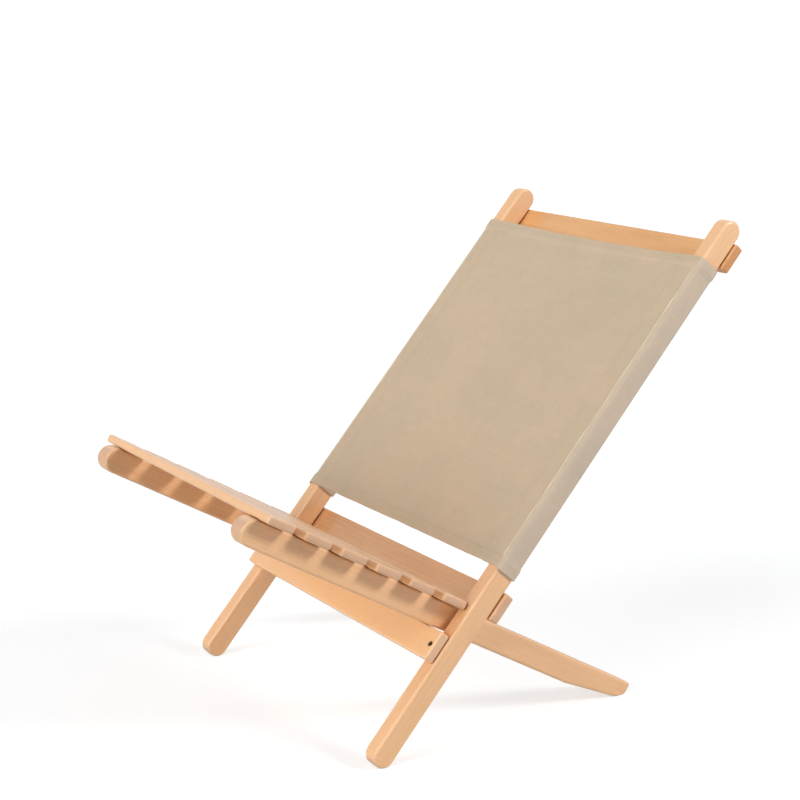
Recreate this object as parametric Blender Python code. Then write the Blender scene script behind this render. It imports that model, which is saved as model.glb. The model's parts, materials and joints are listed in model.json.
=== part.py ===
"""Low wooden camp chair made of two interlocking frames.

The back frame is two stiles joined by three cross boards, with a canvas back sewn into a
pocket round each stile.  The seat frame is two rails joined by six slats.  The rails pass
between the stiles, over the lower front board and under the lower rear board, and the last
slat stops against the stiles.  The seat frame pulls out forwards along its rails.

Metres, Z up.  The sitter faces -Y, so the sitter's left is +X.  The origin lies on the
ground, midway between the front and the back of the chair.
"""

import math

import bmesh
import bpy
from mathutils import Vector

GAP = 0.0003  # clearance between pieces that touch

# Angles of the two frames in side view
STILE_LEAN = math.radians(41.3)  # from the vertical, top to the rear
RAIL_FALL = math.radians(29.7)  # below the horizontal, tail to the rear

# Stiles
STILE_OUTER_X = 0.1955
STILE_WIDTH = 0.0191
STILE_DEPTH = 0.0256
STILE_LENGTH = 0.6909
STILE_EDGE = 0.003

# Cross boards, all of one section
BOARD_HEIGHT = 0.0327
BOARD_THICKNESS = 0.0120
BOARD_EDGE = 0.0025
FRONT_BOARD_TOP = 0.1486  # along the stile from its foot
TOP_BOARD_TOP = 0.6734
FRONT_BOARD_HALF = 0.1926
LOWER_REAR_BOARD_HALF = 0.1985
TOP_BOARD_HALF = 0.1980

# Rails
RAIL_OUTER_X = 0.1721
RAIL_WIDTH = 0.0237
RAIL_DEPTH = 0.0282
RAIL_LENGTH = 0.5466
RAIL_EDGE = 0.003
TAIL_TAPER_START = 0.4580  # along the rail from its nose
TAIL_FACET_END = 0.5440
TAIL_FACET_LENGTH = 0.012
TAIL_END_SETBACK = 0.0008  # of the end halfway down, from the end at the top

# Slats
SLAT_COUNT = 6
SLAT_HALF = 0.1896
SLAT_WIDTH = 0.0329
SLAT_PITCH = 0.0459
SLAT_THICKNESS = 0.0093
SLAT_EDGE = 0.003
FIRST_SLAT_FRONT = 0.0112  # along the rail from its nose

# Canvas back
CANVAS_THICKNESS = 0.001
CANVAS_BOTTOM = 0.2362  # along the stile from its foot
CANVAS_TOP = 0.6344

# Screws through the boards into the stiles, and hidden dowels between rails and slats
SCREW_HEAD_RADIUS = 0.0029
SCREW_HEAD_RIM = 0.0004
SCREW_CONE_DEPTH = 0.0016
SCREW_SHANK_RADIUS = 0.0017
SCREW_LENGTH = 0.028
SCREW_TIP = 0.003
SCREW_SOCKET_RADIUS = 0.0012
SCREW_SOCKET_DEPTH = 0.0012
SCREW_RECESS = 0.0016  # head below the face of the board
DOWEL_RADIUS = 0.003
DOWEL_IN_SLAT = 0.006
DOWEL_IN_RAIL = 0.012

EDGE_SEGMENTS = 2
END_STEPS = 14  # facets of a half-round end
SCREW_STEPS = 16
DOWEL_STEPS = 10
SMOOTH_ANGLE = math.radians(35)

SIDES = {"left": 1, "right": -1}

# Side-view directions, as (y, z)
UP_STILE = Vector((math.sin(STILE_LEAN), math.cos(STILE_LEAN)))
BEHIND_STILE = Vector((math.cos(STILE_LEAN), -math.sin(STILE_LEAN)))
ALONG_RAIL = Vector((math.cos(RAIL_FALL), -math.sin(RAIL_FALL)))
ABOVE_RAIL = Vector((math.sin(RAIL_FALL), math.cos(RAIL_FALL)))


def layout():
    """Side-view origins of the two frames and the foot of the lower rear board.

    The back frame's origin is the foot end of the stiles at their front faces, the seat
    frame's is the nose end of the rails at their top faces.
    """
    foot_radius = STILE_DEPTH / 2
    foot_centre = foot_radius * (UP_STILE + BEHIND_STILE)
    back = Vector((0, foot_radius - foot_centre[1]))

    # The rails lie on the front edge of the lower front board.
    support = (
        back
        + (FRONT_BOARD_TOP - BOARD_EDGE) * UP_STILE
        - (GAP + BOARD_THICKNESS - BOARD_EDGE) * BEHIND_STILE
    )
    seat_height = support.dot(ABOVE_RAIL) + BOARD_EDGE + GAP + RAIL_DEPTH

    # The rounded lower edge of the last slat stops against the front of the stiles.
    last_edge = FIRST_SLAT_FRONT + (SLAT_COUNT - 1) * SLAT_PITCH + SLAT_WIDTH
    offset = (last_edge - SLAT_EDGE) * ALONG_RAIL + (GAP + SLAT_EDGE) * ABOVE_RAIL
    reach = (back - offset - seat_height * ABOVE_RAIL).dot(BEHIND_STILE) - SLAT_EDGE - GAP
    seat = seat_height * ABOVE_RAIL + reach / ALONG_RAIL.dot(BEHIND_STILE) * ALONG_RAIL

    # The lower rear board holds the rails down with its rounded rear edge.
    press = back + (STILE_DEPTH + GAP + BOARD_THICKNESS - BOARD_EDGE) * BEHIND_STILE
    rise = seat_height + GAP + BOARD_EDGE - press.dot(ABOVE_RAIL)
    lower_rear_foot = rise / UP_STILE.dot(ABOVE_RAIL) - BOARD_EDGE

    # Centre the chair from the nose of the rails to the back of the top board.
    nose = seat + RAIL_DEPTH / 2 * (ALONG_RAIL - ABOVE_RAIL)
    top_edge = (
        back
        + (TOP_BOARD_TOP - BOARD_EDGE) * UP_STILE
        + (STILE_DEPTH + GAP + BOARD_THICKNESS - BOARD_EDGE) * BEHIND_STILE
    )
    front = nose[0] - RAIL_DEPTH / 2
    rear = top_edge[0] + BOARD_EDGE
    shift = Vector(((front + rear) / -2, 0))
    return back + shift, seat + shift, lower_rear_foot


def principled(name, colour, roughness, metallic=0.0):
    material = bpy.data.materials.new(name)
    material.use_nodes = True
    shader = material.node_tree.nodes["Principled BSDF"]
    shader.inputs["Base Color"].default_value = (*colour, 1)
    shader.inputs["Roughness"].default_value = roughness
    shader.inputs["Metallic"].default_value = metallic
    return material


def frame_empty(name, origin, turn):
    """An empty whose X is across the chair, at a side-view origin, turned about X."""
    empty = bpy.data.objects.new(name, None)
    empty.location = (0, origin[0], origin[1])
    empty.rotation_euler = (turn, 0, 0)
    bpy.context.scene.collection.objects.link(empty)
    return empty


def add_piece(name, shape, parent, location, material, turn=0.0):
    """Puts a bmesh in the scene as one object, shaded smooth except at its sharp edges."""
    bmesh.ops.recalc_face_normals(shape, faces=shape.faces)
    mesh = bpy.data.meshes.new(name)
    shape.to_mesh(mesh)
    shape.free()
    mesh.shade_smooth()
    mesh.set_sharp_from_angle(angle=SMOOTH_ANGLE)
    if material:
        mesh.materials.append(material)
    piece = bpy.data.objects.new(name, mesh)
    piece.parent = parent
    piece.location = location
    piece.rotation_euler = (turn, 0, 0)
    bpy.context.scene.collection.objects.link(piece)
    return piece


def round_edges(piece, radius):
    bevel = piece.modifiers.new("rounded_edges", "BEVEL")
    bevel.width = radius
    bevel.segments = EDGE_SEGMENTS
    bevel.limit_method = "ANGLE"
    bevel.angle_limit = SMOOTH_ANGLE


def cut(piece, cutter):
    boolean = piece.modifiers.new(cutter.name, "BOOLEAN")
    boolean.operation = "DIFFERENCE"
    boolean.solver = "EXACT"
    boolean.object = cutter


def block(size):
    shape = bmesh.new()
    bmesh.ops.create_cube(shape, size=1)
    bmesh.ops.scale(shape, vec=size, verts=shape.verts)
    return shape


def plank(outline, width):
    """A side-view outline of (y, z) points, given a width along X and centred on it."""
    shape = bmesh.new()
    corners = [shape.verts.new((-width / 2, y, z)) for y, z in outline]
    face = shape.faces.new(corners)
    grown = bmesh.ops.extrude_face_region(shape, geom=[face])["geom"]
    moved = [item for item in grown if isinstance(item, bmesh.types.BMVert)]
    bmesh.ops.translate(shape, vec=(width, 0, 0), verts=moved)
    return shape


def turned(profile, steps):
    """Spins (radius, z) points, both ends on the axis, about Z into a closed solid."""
    shape = bmesh.new()
    rings = []
    for radius, z in profile:
        if radius == 0:
            rings.append([shape.verts.new((0, 0, z))])
            continue
        angles = [2 * math.pi * step / steps for step in range(steps)]
        rings.append(
            [shape.verts.new((radius * math.cos(a), radius * math.sin(a), z)) for a in angles]
        )
    for first, second in zip(rings, rings[1:]):
        for step in range(steps):
            after = (step + 1) % steps
            if len(first) == 1:
                corners = (first[0], second[step], second[after])
            elif len(second) == 1:
                corners = (first[step], second[0], first[after])
            else:
                corners = (first[step], second[step], second[after], first[after])
            shape.faces.new(corners)
    return shape


def half_round(centre, radius, start):
    """Points of a half circle in side view, counter-clockwise from the start angle."""
    angles = [start + math.pi * step / END_STEPS for step in range(END_STEPS + 1)]
    return [
        (centre[0] + radius * math.cos(a), centre[1] + radius * math.sin(a)) for a in angles
    ]


def stile_outline():
    """Y runs from the front face to the rear face, Z up the stile from its foot."""
    radius = STILE_DEPTH / 2
    foot = half_round((radius, radius), radius, math.pi)
    head = half_round((radius, STILE_LENGTH - radius), radius, 0)
    return foot + head


def rail_outline(seat):
    """Y runs from the nose to the tail, Z is 0 on the top face.

    The tail stands on the ground on a level facet.
    """
    radius = RAIL_DEPTH / 2
    nose = half_round((radius, -radius), radius, math.pi / 2)

    def ground(along):
        return -(seat[1] - along * math.sin(RAIL_FALL)) / math.cos(RAIL_FALL)

    facet_start = TAIL_FACET_END - TAIL_FACET_LENGTH * math.cos(RAIL_FALL)
    tail = [
        (TAIL_TAPER_START, -RAIL_DEPTH),
        (facet_start, ground(facet_start)),
        (TAIL_FACET_END, ground(TAIL_FACET_END)),
        (RAIL_LENGTH - TAIL_END_SETBACK, ground(TAIL_FACET_END) / 2),
        (RAIL_LENGTH, 0),
    ]
    return nose + tail


def screw_profile(clearance, above):
    """A countersunk screw along -Z, head at 0; grown by a clearance, it is its own hole."""
    head = SCREW_HEAD_RADIUS + clearance
    shank = SCREW_SHANK_RADIUS + clearance
    rim = -SCREW_HEAD_RIM - clearance
    if above:
        top = [(0, above), (head, above)]
        tip = [(shank, -SCREW_LENGTH - clearance), (0, -SCREW_LENGTH - clearance)]
    else:
        top = [
            (0, -SCREW_SOCKET_DEPTH),
            (SCREW_SOCKET_RADIUS * 0.8, -SCREW_SOCKET_DEPTH),
            (SCREW_SOCKET_RADIUS, 0),
            (head, 0),
        ]
        tip = [(shank, -SCREW_LENGTH + SCREW_TIP), (0, -SCREW_LENGTH)]
    return top + [(head, rim), (shank, rim - SCREW_CONE_DEPTH)] + tip


def dowel_profile(clearance):
    radius = DOWEL_RADIUS + clearance
    top = DOWEL_IN_SLAT + clearance
    foot = -DOWEL_IN_RAIL - clearance
    return [(0, top), (radius, top), (radius, foot), (0, foot)]


def add_cutter(name, profile, steps, parent, location, turn=0.0):
    cutter = add_piece(name, turned(profile, steps), parent, location, None, turn)
    cutter.hide_render = True
    cutter.display_type = "WIRE"
    return cutter


def build_stiles(frame, wood):
    stiles = {}
    for name, side in SIDES.items():
        centre_x = side * (STILE_OUTER_X - STILE_WIDTH / 2)
        shape = plank(stile_outline(), STILE_WIDTH)
        stile = add_piece(f"stile_{name}", shape, frame, (centre_x, 0, 0), wood[f"stile_{name}"])
        round_edges(stile, STILE_EDGE)
        stiles[name] = stile
    return stiles


def build_board(name, half_length, foot, front, frame, stiles, wood, steel):
    """A cross board on the front or the rear faces of the stiles, with a screw at each end."""
    middle_z = foot + BOARD_HEIGHT / 2
    if front:
        middle_y = -GAP - BOARD_THICKNESS / 2
        turn = math.pi / 2
        head_y = -GAP - BOARD_THICKNESS + SCREW_RECESS
    else:
        middle_y = STILE_DEPTH + GAP + BOARD_THICKNESS / 2
        turn = -math.pi / 2
        head_y = STILE_DEPTH + GAP + BOARD_THICKNESS - SCREW_RECESS
    shape = block((2 * half_length, BOARD_THICKNESS, BOARD_HEIGHT))
    board = add_piece(name, shape, frame, (0, middle_y, middle_z), wood[name])
    round_edges(board, BOARD_EDGE)
    for side_name, side in SIDES.items():
        spot = (side * (STILE_OUTER_X - STILE_WIDTH / 2), head_y, middle_z)
        screw = f"{name}_screw_{side_name}"
        shape = turned(screw_profile(0, 0), SCREW_STEPS)
        add_piece(screw, shape, frame, spot, steel, turn)
        hole = add_cutter(
            f"{screw}_hole", screw_profile(GAP, 0.01), SCREW_STEPS, frame, spot, turn
        )
        cut(board, hole)
        cut(stiles[side_name], hole)


def build_canvas(frame, canvas):
    """The back panel with a pocket round each stile, as one sheet of even thickness."""
    outer = STILE_OUTER_X + GAP
    inner = STILE_OUTER_X - STILE_WIDTH - GAP
    across = [inner - CANVAS_THICKNESS, inner, outer, outer + CANVAS_THICKNESS]
    xs = [-x for x in reversed(across)] + across
    ys = [-GAP - CANVAS_THICKNESS, -GAP, STILE_DEPTH + GAP, STILE_DEPTH + GAP + CANVAS_THICKNESS]
    middle_column = len(across) - 1
    channel_columns = (1, middle_column + 2)
    shape = bmesh.new()
    corners = [[shape.verts.new((x, y, CANVAS_BOTTOM)) for y in ys] for x in xs]
    for column in range(len(xs) - 1):
        for row in range(len(ys) - 1):
            if row > 0 and column == middle_column:
                continue
            if row == 1 and column in channel_columns:
                continue
            near, far = corners[column], corners[column + 1]
            shape.faces.new((near[row], far[row], far[row + 1], near[row + 1]))
    unused = [vert for vert in shape.verts if not vert.link_faces]
    bmesh.ops.delete(shape, geom=unused, context="VERTS")
    grown = bmesh.ops.extrude_face_region(shape, geom=list(shape.faces))["geom"]
    moved = [item for item in grown if isinstance(item, bmesh.types.BMVert)]
    bmesh.ops.translate(shape, vec=(0, 0, CANVAS_TOP - CANVAS_BOTTOM), verts=moved)
    return add_piece("canvas_back", shape, frame, (0, 0, 0), canvas)


def build_rails(frame, seat, wood):
    rails = {}
    for name, side in SIDES.items():
        centre_x = side * (RAIL_OUTER_X - RAIL_WIDTH / 2)
        shape = plank(rail_outline(seat), RAIL_WIDTH)
        rail = add_piece(f"rail_{name}", shape, frame, (centre_x, 0, 0), wood[f"rail_{name}"])
        round_edges(rail, RAIL_EDGE)
        rails[name] = rail
    return rails


def build_slats(frame, rails, wood):
    for index in range(SLAT_COUNT):
        name = f"slat_{index + 1}"
        middle_y = FIRST_SLAT_FRONT + index * SLAT_PITCH + SLAT_WIDTH / 2
        shape = block((2 * SLAT_HALF, SLAT_WIDTH, SLAT_THICKNESS))
        spot = (0, middle_y, GAP + SLAT_THICKNESS / 2)
        slat = add_piece(name, shape, frame, spot, wood[name])
        round_edges(slat, SLAT_EDGE)
        for side_name, side in SIDES.items():
            joint = (side * (RAIL_OUTER_X - RAIL_WIDTH / 2), middle_y, 0)
            dowel = f"{name}_dowel_{side_name}"
            shape = turned(dowel_profile(0), DOWEL_STEPS)
            add_piece(dowel, shape, frame, joint, wood["dowel"])
            hole = add_cutter(f"{dowel}_hole", dowel_profile(GAP), DOWEL_STEPS, frame, joint)
            cut(slat, hole)
            cut(rails[side_name], hole)


def wood_materials():
    """Pale beech, each piece a little different in tone."""
    names = [f"{piece}_{side}" for piece in ("stile", "rail") for side in SIDES]
    names += ["front_board", "lower_rear_board", "top_board", "dowel"]
    names += [f"slat_{index + 1}" for index in range(SLAT_COUNT)]
    woods = {}
    for place, name in enumerate(names):
        shade = 1 + 0.04 * math.sin(2.4 * place)
        colour = (0.80 * shade, 0.50 * shade, 0.29 * shade)
        woods[name] = principled(f"beech_{name}", colour, 0.5)
    return woods


def main():
    for item in list(bpy.data.objects):
        bpy.data.objects.remove(item)
    back, seat, lower_rear_foot = layout()
    back_frame = frame_empty("back_frame_axes", back, -STILE_LEAN)
    seat_frame = frame_empty("seat_frame_axes", seat, -RAIL_FALL)
    wood = wood_materials()
    steel = principled("dark_steel", (0.045, 0.04, 0.038), 0.45, 0.9)
    canvas = principled("khaki_canvas", (0.59, 0.47, 0.34), 0.9)

    stiles = build_stiles(back_frame, wood)
    boards = (
        ("front_board", FRONT_BOARD_HALF, FRONT_BOARD_TOP - BOARD_HEIGHT, True),
        ("lower_rear_board", LOWER_REAR_BOARD_HALF, lower_rear_foot, False),
        ("top_board", TOP_BOARD_HALF, TOP_BOARD_TOP - BOARD_HEIGHT, False),
    )
    for name, half_length, foot, front in boards:
        build_board(name, half_length, foot, front, back_frame, stiles, wood, steel)
    build_canvas(back_frame, canvas)
    rails = build_rails(seat_frame, seat, wood)
    build_slats(seat_frame, rails, wood)


main()
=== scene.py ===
"""The looks of a low wooden camp chair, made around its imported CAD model.

Sizes and places come from the CAD nodes, read in the directions of the two frames that the
chair is made of: the back frame, leaning back, and the seat frame, falling to the rear.
In both, X is across the chair.  In the back frame Y runs behind the stiles and Z up them; in
the seat frame Y runs along the rails and Z is square to them.  Everything is in metres.
"""

import json
import math
from functools import partial

import bmesh
import bpy
import numpy as np
from mathutils import Matrix, Vector, noise

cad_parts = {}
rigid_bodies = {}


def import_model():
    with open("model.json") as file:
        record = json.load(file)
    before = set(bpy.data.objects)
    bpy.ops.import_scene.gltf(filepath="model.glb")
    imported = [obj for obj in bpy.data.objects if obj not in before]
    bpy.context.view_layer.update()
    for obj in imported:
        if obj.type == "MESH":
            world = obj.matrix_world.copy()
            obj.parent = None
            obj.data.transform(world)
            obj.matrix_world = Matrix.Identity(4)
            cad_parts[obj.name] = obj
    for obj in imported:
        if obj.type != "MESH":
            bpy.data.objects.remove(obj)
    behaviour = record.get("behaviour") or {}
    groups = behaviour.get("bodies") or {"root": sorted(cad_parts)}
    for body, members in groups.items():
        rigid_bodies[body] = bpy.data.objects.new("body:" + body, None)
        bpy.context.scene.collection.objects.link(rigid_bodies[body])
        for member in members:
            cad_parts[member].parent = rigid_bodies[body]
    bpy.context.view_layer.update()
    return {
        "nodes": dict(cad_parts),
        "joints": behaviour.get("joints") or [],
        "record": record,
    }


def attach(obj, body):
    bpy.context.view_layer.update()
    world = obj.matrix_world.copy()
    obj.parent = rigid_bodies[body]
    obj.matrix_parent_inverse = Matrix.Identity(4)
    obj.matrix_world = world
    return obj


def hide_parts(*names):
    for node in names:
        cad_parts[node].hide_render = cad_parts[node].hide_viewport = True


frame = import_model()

MM = 0.001
NODES = frame["nodes"]
SIDES = {"left": 1, "right": -1}

# Camera
CAMERA_PLACE = (1.6274, -1.0438, 0.7671)
CAMERA_HEADING = math.radians(57.643)  # from +Y towards -X
CAMERA_DIP = math.radians(12.863)
CAMERA_LENS = 80.85  # mm, on a 36 mm sensor
CAMERA_NEAR, CAMERA_FAR = 0.05, 500

# Timber
STILE_EDGE = 3 * MM
RAIL_EDGE = 3 * MM
SLAT_EDGE = 3 * MM
BOARD_EDGE = 2.5 * MM
LAST_SLAT_CORNER = 5 * MM
EDGE_SEGMENTS = 5
ARC_STEP = math.radians(6)
STRIP = 8 * MM  # timber is cut into strips this long, to take the unevenness of sanding
SANDING = 0.12 * MM
SANDING_WAVES = (28, 60, 60)  # per metre, along the grain and across it
SEED_STEPS = (3.7, 1.3, 7.9)  # from one piece's sanding to the next one's
FLAT_WEIGHT = 80  # how much large faces lead the shading of the rounded edges
SHARP_ANGLE = math.radians(40)
TURNED_SHARP_ANGLE = math.radians(30)
BOARD_SEEDS = {"front_board": 11, "lower_rear_board": 12, "top_board": 13}
STILE_SEED, RAIL_SEED, SLAT_SEED, DOWEL_SEED = 20, 30, 40, 90

# Tail of the rails, measured back from its end
TAIL_TAPER = 88.6 * MM
TAIL_FACET_FROM_END = 2.6 * MM
TAIL_FACET = 12 * MM
TAIL_BEND = (0.3, 0.25)  # of the sawn end: shares of TAIL_FACET_FROM_END and of half the depth

# Canvas
CLOTH = 0.9 * MM  # thickness
CLOTH_OFF_STILE = 0.8 * MM  # from the wood to the middle of the cloth
LAYER = 1.0 * MM  # from the middle of one layer of cloth to the next
HEM = 10 * MM
HEM_EASE = 5 * MM
SEAM_FLAP = 11 * MM
FLAP_BEND = 1.5 * MM
CLOTH_STEP = 3 * MM
FINE_STEP = 0.6 * MM  # within RIDGE_SPAN of the stile's front corner
RIDGE_SPAN = 8 * MM
FLAP_STEP = 2 * MM
BEND_STEPS = 7
TURNED_IN_ROWS = (1, 0.75, 0.5, 0.25, 0.1)  # shares of the hem
FOLD_ROWS = (150, 90, 30)  # degrees round the hem's fold
HEM_ROWS = (0.1, 0.3, 0.5, 0.65, 0.75, 0.82, 0.88, 0.94, 1)  # shares of the hem
EASE_ROWS = (0.33, 0.66, 1)  # shares of HEM_EASE
THREAD_PITCH = 0.55 * MM  # of the weave

# How the cloth departs from its plain course.  A pattern of waves has two scales, per
# metre, and the layer of the noise that it is read from.
PANEL_SAG = 3 * MM
SAG_AT_HEMS = 0.7
WAVES_SET_IN, FOLDS_SET_IN, PUCKERS_SET_IN = 4, 6, 8  # how fast, inwards from the stiles
BROAD_WAVES, BROAD_HEIGHT = (7, 5, 1.5), 0.9 * MM
FINE_WAVES, FINE_HEIGHT = (24, 16, 4.5), 0.25 * MM
FOLD_HEIGHT = 0.35 * MM  # of the folds that fan out from the corners
FOLD_START, FOLD_REACH = 14 * MM, 75 * MM
FOLDS_PER_RADIAN = 11
FOLD_TURN, FOLD_SIDE_TURN = 2.3, 0.7  # what sets one corner's folds apart from another's
HEM_REACH = 45 * MM
EDGE_HOLLOW = 1.2 * MM
TOP_HOLLOW = -0.3  # of the bottom hem's
EDGE_WAVES, EDGE_WANDER = (30, 12, 8.5), 0.5 * MM
CORNER_DROOP, CORNER_REACH, CORNER_SPAN = 1.92 * MM, 14 * MM, 6 * MM
POCKET_FLAT = (0.1, 0.9)  # where a pocket can stand off the stile, as shares of its depth
PUFF_WAVES, PUFF_MEAN, PUFF_CHANGE = (22, 9, 2.5), 0.35 * MM, 0.5 * MM
PUFF_AT_HEMS, PUFF_EASE = 0.3, 30 * MM
RIDGE_FROM_CORNER = 4.0 * MM
RIDGE_HEIGHT = 0.8 * MM
RIDGE_WIDTH = 0.7 * MM
RIDGE_WAVES, RIDGE_WANDER = (45, 3, 6.5), 0.5 * MM
LUMP_WAVES, LUMP_MEAN, LUMP_CHANGE = (60, 5, 9.5), 0.8, 0.7
RIDGE_EASE = 8 * MM
RIDGE_FACING, PANEL_FACING = -0.5, -0.9  # the most that Y of their outward normal can be
PUCKER = 0.9 * MM
PUCKER_WAVES, PUCKER_MEAN, PUCKER_WIDTH = (95, 20, 3.5), 0.4, 8 * MM

# The cloth simulation that hangs the panel between the stiles
HANG_COLUMNS = 41
HANG_ROWS = 49
HANG_FRAMES = 30
HANG_LIMIT = 9 * MM
HANG_SETTINGS = {
    "quality": 10,
    "mass": 0.002,  # of each grid point, in kilograms
    "tension_stiffness": 80,
    "compression_stiffness": 80,
    "shear_stiffness": 30,
    "bending_stiffness": 0.5,
    "air_damping": 5,
    "shrink_min": -0.0008,  # the cloth is that share larger than its place
}

# Stitching
STITCH_PITCH = 3.4 * MM
STITCH_LENGTH = 2.5 * MM
STITCH_RADIUS = 0.28 * MM
STITCH_RINGS = (-1, -0.72, -0.25, 0.25, 0.72, 1)  # shares of half its length
STITCH_SIDES = 6
STITCH_LIFT, STITCH_DIVE, STITCH_TAPER = 0.75, 1.6, 0.35  # shares of its radius
STITCH_WOBBLE = 0.07 * MM
STITCH_SEED = 5
PROBE = 0.5 * MM  # how far along the cloth its slope is read
HEM_STITCH = 8.5 * MM  # from the folded edge
SEAM_STITCHES = (3 * MM, 8 * MM)  # from the edge of the pocket's seam
CORNER_STITCH = 3 * MM  # from the ridge
CLEAR_OF_ENDS, CLEAR_OF_FOLD, CLEAR_OF_HEM = 3 * MM, 2 * MM, 6 * MM


def frame_turn(axis):
    """The turn of a frame whose face or slide points forwards and up along the axis."""
    return Matrix.Rotation(-math.atan2(axis[2], -axis[1]), 3, "X")


MOUNTS = {mount["name"]: mount for mount in frame["record"]["mounts"]}
SLIDE = frame["joints"][0]["axis"]
BACK = frame_turn(MOUNTS["backrest_front"]["axis"])
SEAT = frame_turn(SLIDE)
TURNS = {"back_frame": BACK, "seat_frame": SEAT}
RAIL_FALL = math.atan2(SLIDE[2], -SLIDE[1])

# How a piece lies in its frame: the columns are where its own X, the grain, its Y and its
# Z, the direction it is sawn through, point.
UP = Matrix(((0, 0, -1), (0, 1, 0), (1, 0, 0)))
ALONG = Matrix(((0, 0, 1), (1, 0, 0), (0, 1, 0)))
ACROSS_UPRIGHT = Matrix(((1, 0, 0), (0, 0, -1), (0, 1, 0)))
ACROSS_FLAT = Matrix.Identity(3)
HEAD_TO_REAR = Matrix(((1, 0, 0), (0, 0, 1), (0, -1, 0)))


def local_box(node, turn):
    """Lowest and highest corner of a CAD node in the directions of its frame."""
    points = np.array([v.co for v in NODES[node].data.vertices]) @ np.array(turn)
    return Vector(points.min(0)), Vector(points.max(0))


def placed(turn, lie, centre):
    """Where a piece goes whose own axes lie that way in its frame."""
    return Matrix.Translation(turn @ centre) @ (turn @ lie).to_4x4()


def add(name, data, matrix=None):
    """A new object in the scene, with its mesh, lamp or camera."""
    made = bpy.data.objects.new(name, data)
    bpy.context.scene.collection.objects.link(made)
    if matrix:
        made.matrix_world = matrix
    return made


def bell(x, width):
    """1 at 0, fading to nothing within a few widths."""
    return math.exp(-((x / width) ** 2))


def smooth(x):
    """Rises smoothly from 0 at 0 to 1 at 1."""
    x = min(1, max(0, x))
    return x * x * (3 - 2 * x)


def waves(pattern, a, b):
    """Smooth noise about 0 at a place on the cloth."""
    return noise.noise(Vector((a * pattern[0], b * pattern[1], pattern[2])))


def between(grid, across, up):
    """A value between the points of a grid, from a place that is counted in its steps."""
    i, j = min(int(across), grid.shape[0] - 2), min(int(up), grid.shape[1] - 2)
    a, b = across - i, up - j
    near = grid[i, j] * (1 - a) + grid[i + 1, j] * a
    far = grid[i, j + 1] * (1 - a) + grid[i + 1, j + 1] * a
    return near * (1 - b) + far * b


# ---- materials


class NodeTree:
    """Short calls for a tree's nodes."""

    def __init__(self, tree):
        self.tree = tree

    def put(self, socket, value):
        """Links another node's socket, or sets a plain value."""
        if isinstance(value, bpy.types.NodeSocket):
            self.tree.links.new(value, socket)
        else:
            socket.default_value = value

    def node(self, kind, inputs=(), **settings):
        """A node with its first inputs and its settings."""
        made = self.tree.nodes.new(kind)
        for name, value in settings.items():
            setattr(made, name, value)
        for place, value in enumerate(inputs):
            self.put(made.inputs[place], value)
        return made

    def math(self, operation, *values):
        return self.node("ShaderNodeMath", values, operation=operation).outputs[0]

    def times(self, a, b):
        return self.math("MULTIPLY", a, b)

    def scaled(self, a, b, c):
        """a times b, plus c."""
        return self.math("MULTIPLY_ADD", a, b, c)


class Shader(NodeTree):
    """A Principled material under construction."""

    def __init__(self, name):
        self.material = bpy.data.materials.new(name)
        self.material.use_nodes = True
        super().__init__(self.material.node_tree)
        self.surface = self.tree.nodes["Principled BSDF"]

    def vector(self, operation, a, b):
        return self.node("ShaderNodeVectorMath", (a, b), operation=operation).outputs[0]

    def split(self, vector):
        return self.node("ShaderNodeSeparateXYZ", (vector,)).outputs

    def join(self, x, y, z):
        return self.node("ShaderNodeCombineXYZ", (x, y, z)).outputs[0]

    def coordinates(self, name):
        return self.node("ShaderNodeTexCoord").outputs[name]

    def noise(self, place, scale, detail=2.0, roughness=0.5):
        """Noise about 0.5, with its scale in each direction."""
        made = self.node("ShaderNodeTexNoise")
        self.put(made.inputs["Vector"], self.vector("MULTIPLY", place, scale))
        made.inputs["Scale"].default_value = 1
        made.inputs["Detail"].default_value = detail
        made.inputs["Roughness"].default_value = roughness
        return made.outputs["Fac"]

    def vary(self, base, pattern, amount):
        """The base, moved up and down by noise about 0.5."""
        return self.scaled(self.math("SUBTRACT", pattern, 0.5), amount, base)

    def total(self, base, patterns, weights):
        """The base and the named patterns, each with its weight."""
        for name, weight in weights.items():
            base = self.scaled(patterns[name], weight, base)
        return base

    def spread(self, value, low, high, new_low=0.0, new_high=1.0):
        """Maps low..high smoothly to new_low..new_high, clamped."""
        inputs = (value, low, high, new_low, new_high)
        made = self.node("ShaderNodeMapRange", inputs, interpolation_type="SMOOTHSTEP")
        return made.outputs[0]

    def mix(self, factor, a, b, blend="MIX"):
        made = self.node("ShaderNodeMix", data_type="RGBA", blend_type=blend)
        for name, value in (("Factor_Float", factor), ("A_Color", a), ("B_Color", b)):
            socket = next(s for s in made.inputs if s.identifier == name)
            self.put(socket, (*value, 1) if isinstance(value, tuple) else value)
        return next(s for s in made.outputs if s.identifier == "Result_Color")

    def bump(self, height, distance, strength):
        made = self.node("ShaderNodeBump")
        made.inputs["Distance"].default_value = distance
        made.inputs["Strength"].default_value = strength
        self.put(made.inputs["Height"], height)
        self.put(self.surface.inputs["Normal"], made.outputs[0])

    def finish(self, colour, roughness, **values):
        self.put(self.surface.inputs["Base Color"], colour)
        self.put(self.surface.inputs["Roughness"], roughness)
        for name, value in values.items():
            self.put(self.surface.inputs[name.replace("_", " ")], value)
        return self.material


BEECH_LIGHT = (0.85, 0.505, 0.262)
BEECH_DARK = (0.62, 0.295, 0.12)
BEECH_FLECK = (0.46, 0.22, 0.10)
BEECH_END = (0.60, 0.385, 0.265)
BEECH_RUBBED = (0.9, 0.66, 0.45)
# Painted shade: a dark colour mixed in where ambient occlusion finds the wood closed in
BEECH_PAINTED_CREVICE_SHADE = (0.2, 0.07, 0.02)
CREVICE_REACH, CREVICE_SAMPLES = 2.5 * MM, 6
CREVICE_OPENNESS = (0.05, 0.6)  # of the painted shade, from fully dark to none
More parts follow.
